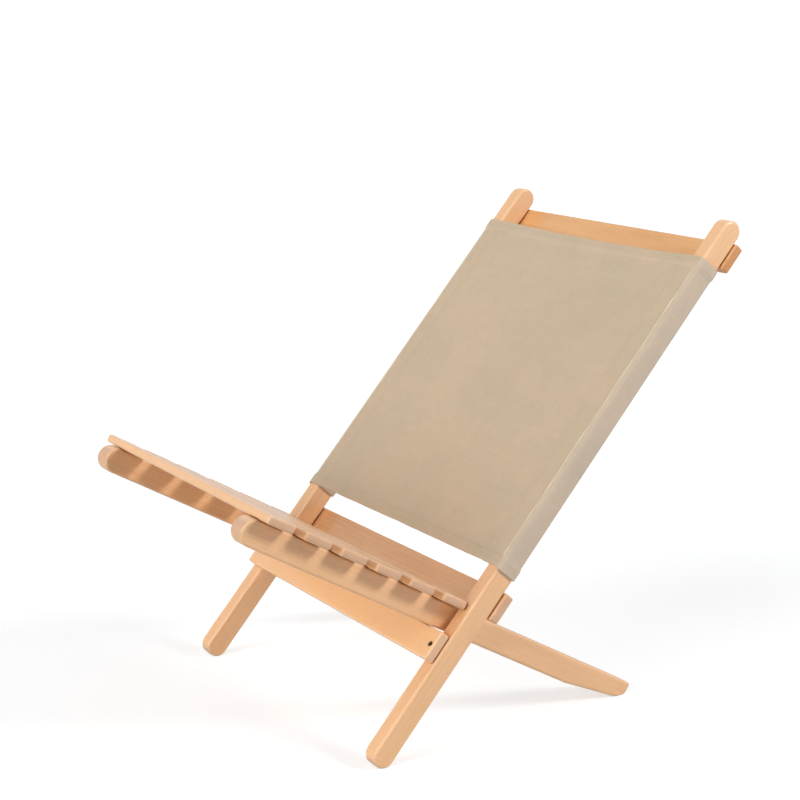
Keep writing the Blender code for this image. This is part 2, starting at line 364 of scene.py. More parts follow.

# The pieces that differ from the others: darker or lighter, tinted, or with other ends.
# The front board's lighter tone and tint are painted light, and the lower rear board's darker
# tone is painted shade, for how brightly each is lit in place.
BEECH_TONES_AND_PAINTED_LIGHT = {
    "top_board": 0.22, "lower_rear_board": 0.2, "front_board": -0.42, "slat_1": -0.2
}
BEECH_TINTS_AND_PAINTED_LIGHT = {"top_board": (1.0, 0.94, 0.76), "front_board": (1.1, 1.12, 1.1)}
BEECH_ENDS = {"top_board": (0.50, 0.20, 0.07)}
NO_TINT = (1, 1, 1)
NOISE_RANGE = (0.3, 0.7)  # where most of a noise's values are

# Each board is cut elsewhere from the tree
PATTERN_SHIFT = 5
TONE_SPREAD = 0.08
PITH_DISTANCE = (0.05, 0.13)
RING_SPACING = 2.6 * MM
RING_SWAY = 26 * MM
RING_UNEVENNESS = 1.4  # rings
LATE_WOOD = (0.35, 1.0)  # the share of a ring where it darkens

# Scales of the noise, per metre along the grain and across it, its detail and roughness
GRAIN = {
    "sway": (2.5, 9, 1.0, 0.5),
    "ring_edges": (12, 160, 2.0, 0.5),
    "streaks": (9, 300, 3.0, 0.6),
    "fibres": (60, 2200, 2.0, 0.6),
    "clouds": (7, 28, 2.0, 0.5),
    "rays": (230, 1500, 1.0, 0.5),
    "pores": (300, 2600, 2.0, 0.5),
    "wear": (45, 120, 3.0, 0.5),
}
RAYS = (0.64, 0.74)  # the stretch of its noise over which a pattern sets in
WEAR = (0.4, 0.65)
PORES = (0.35, 0.65, 0.0, 0.25)
END_FACING = (0.55, 0.95)  # how squarely a face looks along the grain
FLAT_FACING = (0.7, 0.98)

# Weights of the patterns
BEECH_MIDDLE = 0.29
BEECH_SHADES = {"streaks": 0.42, "fibres": 0.35, "clouds": 0.6}
LATE_WOOD_SHADE, LATE_WOOD_END_SHADE = 0.07, 0.3
RAY_COVER, END_COVER, RUBBED_COVER = 0.3, 0.75, 0.3
BEECH_ROUGHNESS = 0.36
BEECH_ROUGHER = {"fibres": 0.16, "ends": 0.15, "rubbed": -0.1}
BEECH_RELIEF = {"fibres": 0.5, "late_wood": 0.06, "rays": -0.5, "end_pores": 0.6}
BEECH_BUMP = (0.12 * MM, 0.55)  # its height and its strength


def beech(name, seed, tone=0.0, tint=NO_TINT, end_grain=BEECH_END):
    """Oiled beech with its grain along X: growth rings about a pith off to one side, fibre
    streaks, short dark rays, paler end grain, edges rubbed a little smoother, and painted
    shade from ambient occlusion in its closed corners and between parts."""
    s = Shader(name)
    draw = np.random.default_rng(seed)
    shift = tuple(float(v) for v in draw.uniform(-PATTERN_SHIFT, PATTERN_SHIFT, 3))
    tone += float(draw.uniform(-TONE_SPREAD, TONE_SPREAD))
    angle = draw.uniform(0, 2 * math.pi)
    pith = draw.uniform(*PITH_DISTANCE)
    place = s.coordinates("Object")
    moved = s.vector("ADD", place, shift)
    grain = {
        pattern: s.noise(moved, (along, across, across), detail, roughness)
        for pattern, (along, across, detail, roughness) in GRAIN.items()
    }
    # Rings, wandering slowly along the grain
    sway = s.scaled(grain["sway"], RING_SWAY, -RING_SWAY / 2)
    y, z = s.split(place)[1:]
    out_y = s.math("ADD", s.math("ADD", y, float(pith * math.cos(angle))), sway)
    out_z = s.math("ADD", z, float(pith * math.sin(angle)))
    squares = [s.math("POWER", out, 2.0) for out in (out_y, out_z)]
    radius = s.math("SQRT", s.math("ADD", *squares))
    uneven = s.times(grain["ring_edges"], RING_UNEVENNESS)
    rings = s.scaled(radius, 1 / RING_SPACING, uneven)
    grain["late_wood"] = s.spread(s.math("FRACT", rings), *LATE_WOOD)
    grain["rays"] = s.spread(grain["rays"], *RAYS)
    shade = s.times(grain["late_wood"], LATE_WOOD_SHADE)
    for pattern, amount in BEECH_SHADES.items():
        shade = s.vary(shade, grain[pattern], amount)
    shade = s.math("ADD", shade, BEECH_MIDDLE + tone)
    colour = s.mix(s.spread(shade, 0.0, 1.0), BEECH_LIGHT, BEECH_DARK)
    colour = s.mix(s.times(grain["rays"], RAY_COVER), colour, BEECH_FLECK)
    # End grain and rounded edges, by which way the surface faces
    facing = [s.math("ABSOLUTE", part) for part in s.split(s.coordinates("Normal"))]
    grain["ends"] = s.spread(facing[0], *END_FACING)
    grain["end_pores"] = s.times(grain["ends"], grain["pores"])
    pores = s.spread(grain["pores"], *PORES)
    end_shade = s.scaled(grain["late_wood"], LATE_WOOD_END_SHADE, pores)
    end_colour = s.mix(end_shade, end_grain, BEECH_DARK)
    colour = s.mix(s.times(grain["ends"], END_COVER), colour, end_colour)
    flat = s.math("MAXIMUM", s.math("MAXIMUM", facing[1], facing[2]), facing[0])
    round_part = s.math("SUBTRACT", 1.0, s.spread(flat, *FLAT_FACING))
    grain["rubbed"] = s.times(round_part, s.spread(grain["wear"], *WEAR))
    rubbed = s.times(grain["rubbed"], RUBBED_COVER)
    colour = s.mix(rubbed, colour, BEECH_RUBBED)
    colour = s.mix(1.0, colour, tint, "MULTIPLY")
    s.bump(s.total(0.0, grain, BEECH_RELIEF), *BEECH_BUMP)
    # Painted shade in closed corners and between parts, from ambient occlusion
    occlusion = s.node("ShaderNodeAmbientOcclusion", samples=CREVICE_SAMPLES)
    occlusion.inputs["Distance"].default_value = CREVICE_REACH
    closed = s.spread(occlusion.outputs["AO"], *CREVICE_OPENNESS, 1.0, 0.0)
    colour = s.mix(closed, colour, BEECH_PAINTED_CREVICE_SHADE)
    roughness = s.total(BEECH_ROUGHNESS, grain, BEECH_ROUGHER)
    return s.finish(colour, roughness, IOR=1.45, Coat_Weight=0.6, Coat_Roughness=0.15)


CANVAS_SAND = (0.69, 0.54, 0.385)
CANVAS_OLIVE = (0.635, 0.52, 0.37)
# The darker canvas colour, for darker threads, slubs and grime, and for painted shade between
# threads
CANVAS_DARK_AND_PAINTED_SHADE = (0.46, 0.355, 0.24)
# Lighter along the seam's ridge: partly wear and partly a painted highlight
CANVAS_WORN_AND_HIGHLIT = (0.82, 0.72, 0.50)
POCKET_TINT = (0.95, 0.965, 1.03)
CANVAS_CLOUDS, CLOUD_EDGES = (11, 11, 11), (0.35, 0.65)
CANVAS_GRIME = (70, 70, 70)
DRIFT_ACROSS, DRIFT_ALONG, DRIFT = 0.6, 0.03, 0.9  # in threads
DRIFT_LAYER = 7.0  # of the noise, for the second way
THREAD_TONE, PAINTED_GAP_SHADE, SLUB_SHADE, GRIME_SHADE = 0.22, 0.4, 0.5, 0.25
GAP_HEIGHTS = (0.9, 0.2)  # of the threads, from where the painted shade between them sets in
SEAM_WEAR_AND_HIGHLIGHT_COVER = 0.75
CANVAS_ROUGHNESS = (0.97, 0.84)  # between the threads and on them
SLUB_HEIGHT = 0.5
CANVAS_BUMP = (0.16 * MM, 0.7)


def canvas_material():
    """Plain-weave cotton canvas: each thread runs over and under, a little uneven in
    thickness and tone, with painted shade in the gaps between the threads.  Along the seam's
    ridge it is lighter, partly wear and partly a painted highlight.  The cloth's UV map is its
    flat cut in metres."""
    s = Shader("khaki_canvas")
    flat = s.node("ShaderNodeUVMap", uv_map="flat_cut").outputs[0]
    threads = s.vector("MULTIPLY", flat, (1 / THREAD_PITCH, 1 / THREAD_PITCH, 0))
    u, v = s.split(threads)[:2]
    # Slubs: the threads drift to the side a little along their length
    both = s.join(u, v, 1.0)
    drifts = [
        s.noise(both, (DRIFT_ACROSS, DRIFT_ALONG, 0.0), detail=1.0),
        s.noise(both, (DRIFT_ALONG, DRIFT_ACROSS, DRIFT_LAYER), detail=1.0),
    ]
    u, v = s.scaled(drifts[0], DRIFT, u), s.scaled(drifts[1], DRIFT, v)
    wave_u, wave_v = (s.math("SINE", s.times(way, math.pi)) for way in (u, v))
    # Each way's height, up by half where the other is down by half, and its threads' tones
    tops, tones = [], []
    ways = ((u, wave_u, wave_v, 0.5, 0.0), (v, wave_v, wave_u, -0.5, 0.5))
    for way, own, other, half, layer in ways:
        lift = s.scaled(s.times(s.math("SIGN", own), other), half, 0.5)
        tops.append(s.times(s.math("ABSOLUTE", own), lift))
        tone = s.node("ShaderNodeTexWhiteNoise", noise_dimensions="1D")
        s.put(tone.inputs["W"], s.math("ADD", s.math("FLOOR", way), layer))
        tones.append(tone.outputs["Value"])
    height = s.math("MAXIMUM", *tops)
    on_top = s.math("GREATER_THAN", *tops)
    tone = s.mix(on_top, tones[1], tones[0])
    slub = s.mix(on_top, drifts[1], drifts[0])
    place = s.coordinates("Object")
    clouds = s.noise(place, CANVAS_CLOUDS, detail=3.0, roughness=0.6)
    grime = s.noise(place, CANVAS_GRIME, detail=3.0, roughness=0.6)
    colour = s.mix(s.spread(clouds, *CLOUD_EDGES), CANVAS_SAND, CANVAS_OLIVE)
    # Painted shade in the low gaps between the threads
    painted_gap_shade = s.times(s.spread(height, *GAP_HEIGHTS), PAINTED_GAP_SHADE)
    shade = s.scaled(tone, THREAD_TONE, painted_gap_shade)
    shade = s.vary(shade, slub, SLUB_SHADE)
    shade = s.vary(shade, grime, GRIME_SHADE)
    colour = s.mix(shade, colour, CANVAS_DARK_AND_PAINTED_SHADE)
    pocket = s.node("ShaderNodeAttribute", attribute_name="pocket").outputs["Fac"]
    colour = s.mix(pocket, colour, s.mix(1.0, colour, POCKET_TINT, "MULTIPLY"))
    # Lighter along the seam's ridge: partly wear and partly a painted highlight
    rubbed = s.node("ShaderNodeAttribute", attribute_name="rubbed").outputs["Fac"]
    colour = s.mix(s.times(rubbed, SEAM_WEAR_AND_HIGHLIGHT_COVER), colour, CANVAS_WORN_AND_HIGHLIT)
    roughness = s.spread(height, 0.0, 1.0, *CANVAS_ROUGHNESS)
    s.bump(s.scaled(slub, SLUB_HEIGHT, height), *CANVAS_BUMP)
    return s.finish(colour, roughness, Sheen_Weight=0.2, Sheen_Roughness=0.45)


THREAD_COLOURS = (0.66, 0.55, 0.41), (0.52, 0.41, 0.29)
THREAD_TWISTS = (1500, 1500, 1500)  # radians per metre
TWIST_SLANT = 1.6
THREAD_FUZZ = (900, 900, 900)
THREAD_ROUGHNESS = (0.7, 0.85)
THREAD_BUMP = (0.08 * MM, 0.6)


def thread_material():
    """Cotton sewing thread, two plies twisted together."""
    s = Shader("sewing_thread")
    place = s.coordinates("Object")
    x, y, z = s.split(s.vector("MULTIPLY", place, THREAD_TWISTS))
    twist = s.math("SINE", s.scaled(s.math("ADD", x, z), TWIST_SLANT, y))
    ply = s.spread(twist, -1.0, 1.0)
    fuzz = s.noise(place, THREAD_FUZZ)
    colour = s.mix(s.times(ply, fuzz), *THREAD_COLOURS)
    s.bump(ply, *THREAD_BUMP)
    return s.finish(colour, s.spread(fuzz, *NOISE_RANGE, *THREAD_ROUGHNESS))


STEEL_COLOURS = (0.035, 0.032, 0.03), (0.11, 0.075, 0.05)
STEEL_STAINS, STAIN_EDGES = (700, 700, 700), (0.45, 0.7)
STEEL_TURNING = (400, 400, 6000)  # marks of a tool, round the screw
STEEL_ROUGHNESS, STAIN_ROUGHNESS = 0.28, 0.3
STEEL_BUMP = (0.04 * MM, 0.5)


def steel_material():
    """Blackened steel, rubbed brown in places."""
    s = Shader("dark_steel")
    place = s.coordinates("Object")
    stain = s.noise(place, STEEL_STAINS, detail=4.0, roughness=0.6)
    turning = s.noise(place, STEEL_TURNING)
    colour = s.mix(s.spread(stain, *STAIN_EDGES), *STEEL_COLOURS)
    roughness = s.scaled(stain, STAIN_ROUGHNESS, STEEL_ROUGHNESS)
    s.bump(s.math("ADD", stain, turning), *STEEL_BUMP)
    return s.finish(colour, roughness, Metallic=0.85)


FLOOR_HALF = 200
FLOOR_COLOURS = (0.52, 0.535, 0.555), (0.54, 0.555, 0.575)
FLOOR_CLOUDS = (3, 3, 3)
FLOOR_ROUGHNESS = (0.55, 0.65)
FLOOR_GLOW_COLOUR = (0.99, 0.99, 0.99, 1)
FLOOR_GLOW = 0.6  # how brightly it is seen to glow, as a light table does
FLOOR_LIGHT = 0.16  # how brightly it lights the chair


def floor_material():
    """A pale floor that glows, so that it looks white without lighting the chair much."""
    s = Shader("pale_floor")
    cloud = s.noise(s.coordinates("Object"), FLOOR_CLOUDS, detail=3.0)
    seen = s.node("ShaderNodeLightPath").outputs["Is Camera Ray"]
    glow = s.scaled(seen, FLOOR_GLOW - FLOOR_LIGHT, FLOOR_LIGHT)
    return s.finish(
        s.mix(cloud, *FLOOR_COLOURS),
        s.spread(cloud, *NOISE_RANGE, *FLOOR_ROUGHNESS),
        Specular_IOR_Level=0.2,
        Emission_Color=FLOOR_GLOW_COLOUR,
        Emission_Strength=glow,
    )


# ---- timber


def arc(centre, radius, start, end):
    """Points from one angle to another about a centre, both ends included."""
    steps = max(2, math.ceil(abs(end - start) / ARC_STEP))
    angles = [start + (end - start) * step / steps for step in range(steps + 1)]
    return [(centre[0] + radius * math.cos(a), centre[1] + radius * math.sin(a)) for a in angles]


def oblong(length, width):
    x, y = length / 2, width / 2
    return [(-x, -y), (x, -y), (x, y), (-x, y)]


def stile_outline(length, depth):
    """Half round at both ends."""
    radius = depth / 2
    foot = arc((-length / 2 + radius, 0), radius, 1.5 * math.pi, 0.5 * math.pi)
    head = arc((length / 2 - radius, 0), radius, 0.5 * math.pi, -0.5 * math.pi)
    return foot + head


def rail_outline(length, depth, middle):
    """Half round at the nose, tapered from below at the tail, which stands on a level
    facet.  The middle of the rail is given in the seat frame."""

    def ground(along):
        return (middle.y + along) * math.tan(RAIL_FALL) - middle.z

    radius = depth / 2
    nose = arc((-length / 2 + radius, 0), radius, 0.5 * math.pi, 1.5 * math.pi)
    end = length / 2
    facet_end = end - TAIL_FACET_FROM_END
    facet_start = facet_end - TAIL_FACET * math.cos(RAIL_FALL)
    low = ground(facet_end)
    tail = [
        (end - TAIL_TAPER, -radius),
        (facet_start, ground(facet_start)),
        (facet_end, low),
        (end - TAIL_BEND[0] * TAIL_FACET_FROM_END, (low + radius) / 2 - radius * TAIL_BEND[1]),
        (end, radius),
    ]
    return nose + tail


def slat_outline(length, width, rear_corner):
    """Oblong, or with its two rear corners rounded."""
    if not rear_corner:
        return oblong(length, width)
    x, y = length / 2 - rear_corner, width / 2 - rear_corner
    right = arc((x, y), rear_corner, 0, 0.5 * math.pi)
    left = arc((-x, y), rear_corner, 0.5 * math.pi, math.pi)
    return oblong(length, width)[:2] + right + left


def sawn(outline, thickness):
    """An outline in X and Y given a thickness along Z."""
    shape = bmesh.new()
    ring = [shape.verts.new((x, y, -thickness / 2)) for x, y in outline]
    grown = bmesh.ops.extrude_face_region(shape, geom=[shape.faces.new(ring)])["geom"]
    top = [item for item in grown if isinstance(item, bmesh.types.BMVert)]
    bmesh.ops.translate(shape, vec=(0, 0, thickness), verts=top)
    bmesh.ops.recalc_face_normals(shape, faces=shape.faces)
    return shape


def turned(profile, steps):
    """Spins (radius, z) points, both ends on the axis, about Z into a closed solid."""
    return woven_rings([[(radius, z)] * steps for radius, z in profile])


def woven_rings(rings):
    """Joins rings of (radius, z) points about Z; a ring of no radius is one point."""
    shape = bmesh.new()
    made = []
    for ring in rings:
        if max(radius for radius, z in ring) == 0:
            ring = ring[:1]
        turn = 2 * math.pi / len(ring)
        spots = [
            (radius * math.cos(i * turn), radius * math.sin(i * turn), z)
            for i, (radius, z) in enumerate(ring)
        ]
        made.append([shape.verts.new(spot) for spot in spots])
    steps = max(len(ring) for ring in made)
    for first, second in zip(made, made[1:]):
        for i in range(steps):
            after = (i + 1) % steps
            if len(first) == 1:
                shape.faces.new((first[0], second[i], second[after]))
            elif len(second) == 1:
                shape.faces.new((first[i], second[0], first[after]))
            else:
                shape.faces.new((first[i], second[i], second[after], first[after]))
    bmesh.ops.recalc_face_normals(shape, faces=shape.faces)
    return shape


def add_object(name, shape, matrix, material=None):
    """An object made from a bmesh, which is used up."""
    mesh = bpy.data.meshes.new(name)
    shape.to_mesh(mesh)
    shape.free()
    if material:
        mesh.materials.append(material)
    return add(name, mesh, matrix)


def settle(piece):
    """Applies the piece's modifiers to its mesh."""
    bpy.context.view_layer.update()
    graph = bpy.context.evaluated_depsgraph_get()
    made = bpy.data.meshes.new_from_object(piece.evaluated_get(graph))
    piece.modifiers.clear()
    piece.data = made


def cut(piece, cutters):
    for cutter in cutters:
        boolean = piece.modifiers.new(cutter.name, "BOOLEAN")
        boolean.operation = "DIFFERENCE"
        boolean.solver = "EXACT"
        boolean.object = cutter


def round_edges(piece, radius):
    bevel = piece.modifiers.new("rounded_edges", "BEVEL")
    bevel.width = radius
    bevel.segments = EDGE_SEGMENTS
    bevel.limit_method = "ANGLE"
    bevel.angle_limit = SHARP_ANGLE


def sand(piece, seed):
    """Cuts the piece into strips along its grain and moves them a hair in and out."""
    shape = bmesh.new()
    shape.from_mesh(piece.data)
    ends = [v.co.x for v in shape.verts]
    count = int((max(ends) - min(ends)) / STRIP)
    for i in range(1, count):
        x = min(ends) + (max(ends) - min(ends)) * i / count
        everything = shape.verts[:] + shape.edges[:] + shape.faces[:]
        bmesh.ops.bisect_plane(
            shape, geom=everything, dist=1e-6, plane_co=(x, 0, 0), plane_no=(1, 0, 0)
        )
    shape.normal_update()
    offset = Vector([seed * step for step in SEED_STEPS])
    for vert in shape.verts:
        place = Vector([part * scale for part, scale in zip(vert.co, SANDING_WAVES)])
        vert.co += vert.normal * SANDING * noise.noise(place + offset)
    shape.to_mesh(piece.data)
    shape.free()


def shade_evenly(piece):
    piece.data.shade_smooth()
    piece.data.set_sharp_from_angle(angle=SHARP_ANGLE)
    evenly = piece.modifiers.new("flat_faces_shade_flat", "WEIGHTED_NORMAL")
    evenly.keep_sharp = True
    evenly.weight = FLAT_WEIGHT


def stand_in(piece, body, node):
    """The piece rides on a body, in place of a CAD node."""
    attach(piece, body)
    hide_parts(node)


def timber(node, body, lie, outline, edge, seed, holes):
    """A piece of beech: an outline that is drawn from its length and width, as thick as its
    CAD node, with the holes that are named after the piece or after its side."""
    low, high = local_box(node, TURNS[body])
    length, width, thickness = (abs(size) for size in lie.transposed() @ (high - low))
    matrix = placed(TURNS[body], lie, (low + high) / 2)
    piece = add_object(f"{node}_beech", sawn(outline(length, width), thickness), matrix)
    round_edges(piece, edge)
    side = node.rpartition("_")[2]
    cut(piece, [h for name, h in holes.items() if name.startswith(node) or name.endswith(side)])
    settle(piece)
    sand(piece, seed)
    # Some of these tones and tints are painted light and shade
    tone, tint = BEECH_TONES_AND_PAINTED_LIGHT.get(node, 0), BEECH_TINTS_AND_PAINTED_LIGHT.get(node, NO_TINT)
    end_grain = BEECH_ENDS.get(node, BEECH_END)
    piece.data.materials.clear()
    piece.data.materials.append(beech(f"beech_{node}", seed, tone, tint, end_grain))
    shade_evenly(piece)
    stand_in(piece, body, node)


# ---- screws and dowels

HOLE_CLEARANCE = 0.3 * MM
HOLE_REACH = 10 * MM  # of the cutter, above the screw's head
HOLE_FLARE = 0.1 * MM
SCREW_HOLE_SIDES, DOWEL_HOLE_SIDES = 40, 24
SHANK_RADIUS = 1.7 * MM
CORE_RADIUS = 1.25 * MM
HEAD_TOP, HEAD_ROUND = 0.94, 0.08 * MM  # its top as a share of its radius
HEAD_RIM = 0.4 * MM
HEAD_CONE = 1.6 * MM
NECK = 1 * MM
THREAD_STARTS = 9 * MM
SCREW_PITCH = 1.3 * MM
RINGS_PER_PITCH = 6
CREST_STEEPNESS = 4
SCREW_TIP, TIP_BLUNTNESS = 4 * MM, 0.08
SCREW_SIDES = 24
SCREW_TURN, DOWEL_TURN = 0.6, 0.37  # radians from each piece to the next
RECESS_DEPTH = 1.3 * MM
RECESS_SIZE = (1.15, 0.28)  # of a blade, in radiuses of the head
RECESS_FOOT = (0.35, 0.6)  # shares of that size
DOWEL_FLUTES, SIDES_PER_FLUTE = 12, 4
DOWEL_CHAMFER, FLUTE_DEPTH = 0.8 * MM, 0.25 * MM


def screw_hole(name, radius, depth, matrix):
    """The cutter of one screw's counterbore, cone and hole, with the head at z 0."""
    head = radius + HOLE_CLEARANCE
    shank = SHANK_RADIUS + HOLE_CLEARANCE
    profile = [
        (0, HOLE_REACH),
        (head + HOLE_FLARE, HOLE_REACH),
        (head, -HEAD_RIM - HOLE_CLEARANCE),
        (shank, -HEAD_RIM - HEAD_CONE - HOLE_CLEARANCE),
        (shank, -depth - HOLE_CLEARANCE),
        (0, -depth - HOLE_CLEARANCE),
    ]
    return hidden_cutter(name, turned(profile, SCREW_HOLE_SIDES), matrix)


def hidden_cutter(name, shape, matrix):
    """A shape that only cuts others; main() removes it."""
    cutter = add_object(name, shape, matrix)
    cutter.hide_render = True
    cutter.display_type = "WIRE"
    return cutter


def screw_shape(radius, length):
    """A countersunk wood screw with a rolled thread, head at z 0 and tip down."""
    rings = [[(0, 0)] * SCREW_SIDES]
    for share, z in ((HEAD_TOP, 0), (1, -HEAD_ROUND), (1, -HEAD_RIM)):
        rings.append([(radius * share, z)] * SCREW_SIDES)
    neck = -HEAD_RIM - HEAD_CONE
    rings.append([(SHANK_RADIUS, neck)] * SCREW_SIDES)
    z = neck - NECK
    while z > -length:
        ring = []
        for side in range(SCREW_SIDES):
            turn = (z / SCREW_PITCH + side / SCREW_SIDES) % 1
            threaded = z < -THREAD_STARTS
            crest = max(0, 1 - abs(turn - 0.5) * CREST_STEEPNESS) if threaded else 0
            core = CORE_RADIUS if threaded else SHANK_RADIUS
            taper = min(1, (z + length) / SCREW_TIP + TIP_BLUNTNESS)
            ring.append(((core + crest * (SHANK_RADIUS - CORE_RADIUS)) * taper, z))
        rings.append(ring)
        z -= SCREW_PITCH / RINGS_PER_PITCH
    rings.append([(0, -length)] * SCREW_SIDES)
    return woven_rings(rings)


def cross_recess(radius):
    """Two tapered blades that are cut into a screw's head."""
    blades = []
    for turn in (0, math.pi / 2):
        shape = bmesh.new()
        bmesh.ops.create_cube(shape, size=1)
        size = (radius * RECESS_SIZE[0], radius * RECESS_SIZE[1], 2 * RECESS_DEPTH)
        bmesh.ops.scale(shape, vec=size, verts=shape.verts)
        for vert in shape.verts:
            if vert.co.z < 0:
                vert.co.x *= RECESS_FOOT[0]
                vert.co.y *= RECESS_FOOT[1]
        matrix = Matrix.Rotation(turn, 4, "Z")
        blades.append(hidden_cutter(f"screw_recess_{len(blades)}", shape, matrix))
    return blades


def shade_turned(mesh):
    mesh.shade_smooth()
    mesh.set_sharp_from_angle(angle=TURNED_SHARP_ANGLE)


def build_screws(steel):
    """Six screws that share one mesh, and the holes they stand in."""
    pattern = None
    holes = {}
    for board in BOARD_SEEDS:
        front = board == "front_board"
        for side in SIDES:
            node = f"{board}_screw_{side}"
            low, high = local_box(node, BACK)
            middle = (low + high) / 2
            head = Vector((middle.x, low.y if front else high.y, middle.z))
            matrix = placed(BACK, ACROSS_UPRIGHT if front else HEAD_TO_REAR, head)
            radius, length = (high.x - low.x) / 2, high.y - low.y
            holes[node] = screw_hole(f"{node}_hole", radius, length, matrix)
            if pattern is None:
                pattern = add_object("screw_pattern", screw_shape(radius, length), Matrix())
                cut(pattern, cross_recess(radius))
                settle(pattern)
                pattern.data.materials.clear()
                pattern.data.materials.append(steel)
                shade_turned(pattern.data)
            matrix = matrix @ Matrix.Rotation(SCREW_TURN * len(holes), 4, "Z")
            screw = add(f"{node}_steel", pattern.data, matrix)
            stand_in(screw, "back_frame", node)
    bpy.data.objects.remove(pattern)
    return holes


def dowel_shape(radius, length):
    """A fluted dowel with chamfered ends, centred on its middle."""
    half = length / 2
    sides = DOWEL_FLUTES * SIDES_PER_FLUTE
    rings = [[(0, half)] * sides]
    flutes = [FLUTE_DEPTH * (i % SIDES_PER_FLUTE == 0) for i in range(sides)]
    for z in (half, half - DOWEL_CHAMFER, -half + DOWEL_CHAMFER, -half):
        inset = DOWEL_CHAMFER if abs(z) == half else 0
        rings.append([(radius - inset - depth, z) for depth in flutes])
    rings.append([(0, -half)] * sides)
    return woven_rings(rings)


def build_dowels(count):
    """Dowels between the rails and the slats, and the holes they stand in."""
    material = beech("beech_dowels", DOWEL_SEED)
    pattern = None
    holes = {}
    for index in range(1, count + 1):
        for side in SIDES:
            node = f"slat_{index}_dowel_{side}"
            low, high = local_box(node, SEAT)
            lie = Matrix.Rotation(DOWEL_TURN * index, 3, "Z")
            matrix = placed(SEAT, lie, (low + high) / 2)
            radius, length = (high.y - low.y) / 2, high.z - low.z
            if pattern is None:
                shape = dowel_shape(radius, length)
                pattern = add_object("dowel_pattern", shape, Matrix(), material)
                shade_turned(pattern.data)
            dowel = add(f"{node}_beech", pattern.data, matrix)
            stand_in(dowel, "seat_frame", node)
            grown, half = radius + HOLE_CLEARANCE, length / 2 + HOLE_CLEARANCE
            profile = [(0, half), (grown, half), (grown, -half), (0, -half)]
            shape = turned(profile, DOWEL_HOLE_SIDES)
            holes[node] = hidden_cutter(f"{node}_hole", shape, matrix)
    bpy.data.objects.remove(pattern)
    return holes


# ---- canvas


def line(start, end, normal, step):
    """Points and outward normals along a straight run, without its last point."""
    start, end = np.array(start), np.array(end)
    count = max(2, math.ceil(np.linalg.norm(end - start) / step))
    return [(start + (end - start) * i / count, np.array(normal)) for i in range(count)]


def bend(centre, radius, start, end, outward):
    """The same along an arc; outward is -1 where the cloth's outside faces its centre."""
    made = []
    for i in range(BEND_STEPS):
        angle = start + (end - start) * i / BEND_STEPS
        ray = np.array((math.cos(angle), math.sin(angle)))
        made.append((np.array(centre) + radius * ray, outward * ray))
    return made


def half_course(low, high):
    """The cloth's course from the middle of the panel, across the front of the left stile,
    round it, and back along the rear of the panel as a seam flap."""
    off, edge = CLOTH_OFF_STILE, STILE_EDGE
    right = math.pi / 2
    inner, outer, front, rear = low.x - off, high.x + off, low.y - off, high.y + off
    left_x, right_x = low.x + edge, high.x - edge
    front_y, rear_y = low.y + edge, high.y - edge
    ridge_x, flap_y = right_x - RIDGE_SPAN, front + LAYER
    flap_x = inner - FLAP_BEND
    course = line((0, front), (ridge_x, front), (0, -1), CLOTH_STEP)
    course += line((ridge_x, front), (right_x, front), (0, -1), FINE_STEP)
    course += bend((right_x, front_y), edge + off, -right, 0, 1)
    course += line((outer, front_y), (outer, rear_y), (1, 0), CLOTH_STEP)
    course += bend((right_x, rear_y), edge + off, 0, right, 1)
    course += line((right_x, rear), (left_x, rear), (0, 1), CLOTH_STEP)
    course += bend((left_x, rear_y), edge + off, right, 2 * right, 1)
    course += line((inner, rear_y), (inner, flap_y + FLAP_BEND), (-1, 0), CLOTH_STEP)
    course += bend((flap_x, flap_y + FLAP_BEND), FLAP_BEND, 0, -right, -1)
    course += line((flap_x, flap_y), (flap_x - SEAM_FLAP, flap_y), (0, 1), FLAP_STEP)
    return course + [(np.array((flap_x - SEAM_FLAP, flap_y)), np.array((0, 1)))]


def hem_rows(bottom, top):
    """Heights up the stile and outward bulges of the cloth's rows, from the end of the
    turned-in bottom hem, round its fold, up the outside and into the top hem."""
    radius = LAYER / 2
    rows = [(bottom + HEM * share, 0) for share in TURNED_IN_ROWS]
    for degrees in FOLD_ROWS:
        angle = math.radians(degrees)
        rows.append((bottom + radius * (1 - math.sin(angle)), radius * (1 + math.cos(angle))))
    folds = [(bottom + top - height, bulge) for height, bulge in reversed(rows)]
    lower = [bottom + HEM * share for share in HEM_ROWS]
    lower += [bottom + HEM + HEM_EASE * share for share in EASE_ROWS]
    upper = [bottom + top - height for height in reversed(lower)]
    count = math.ceil((upper[0] - lower[-1]) / CLOTH_STEP)
    middle = [lower[-1] + (upper[0] - lower[-1]) * i / count for i in range(1, count)]
    for height in lower + middle + upper:
        inside = min(height - bottom, top - height) - HEM
        rows.append((height, LAYER * (1 - smooth(inside / HEM_EASE))))
    return rows + folds


def grid_faces(columns, rows):
    """Faces of a grid of points, counted up each column in turn."""
    return [
        (i * rows + j, (i + 1) * rows + j, (i + 1) * rows + j + 1, i * rows + j + 1)
        for i in range(columns - 1)
        for j in range(rows - 1)
    ]


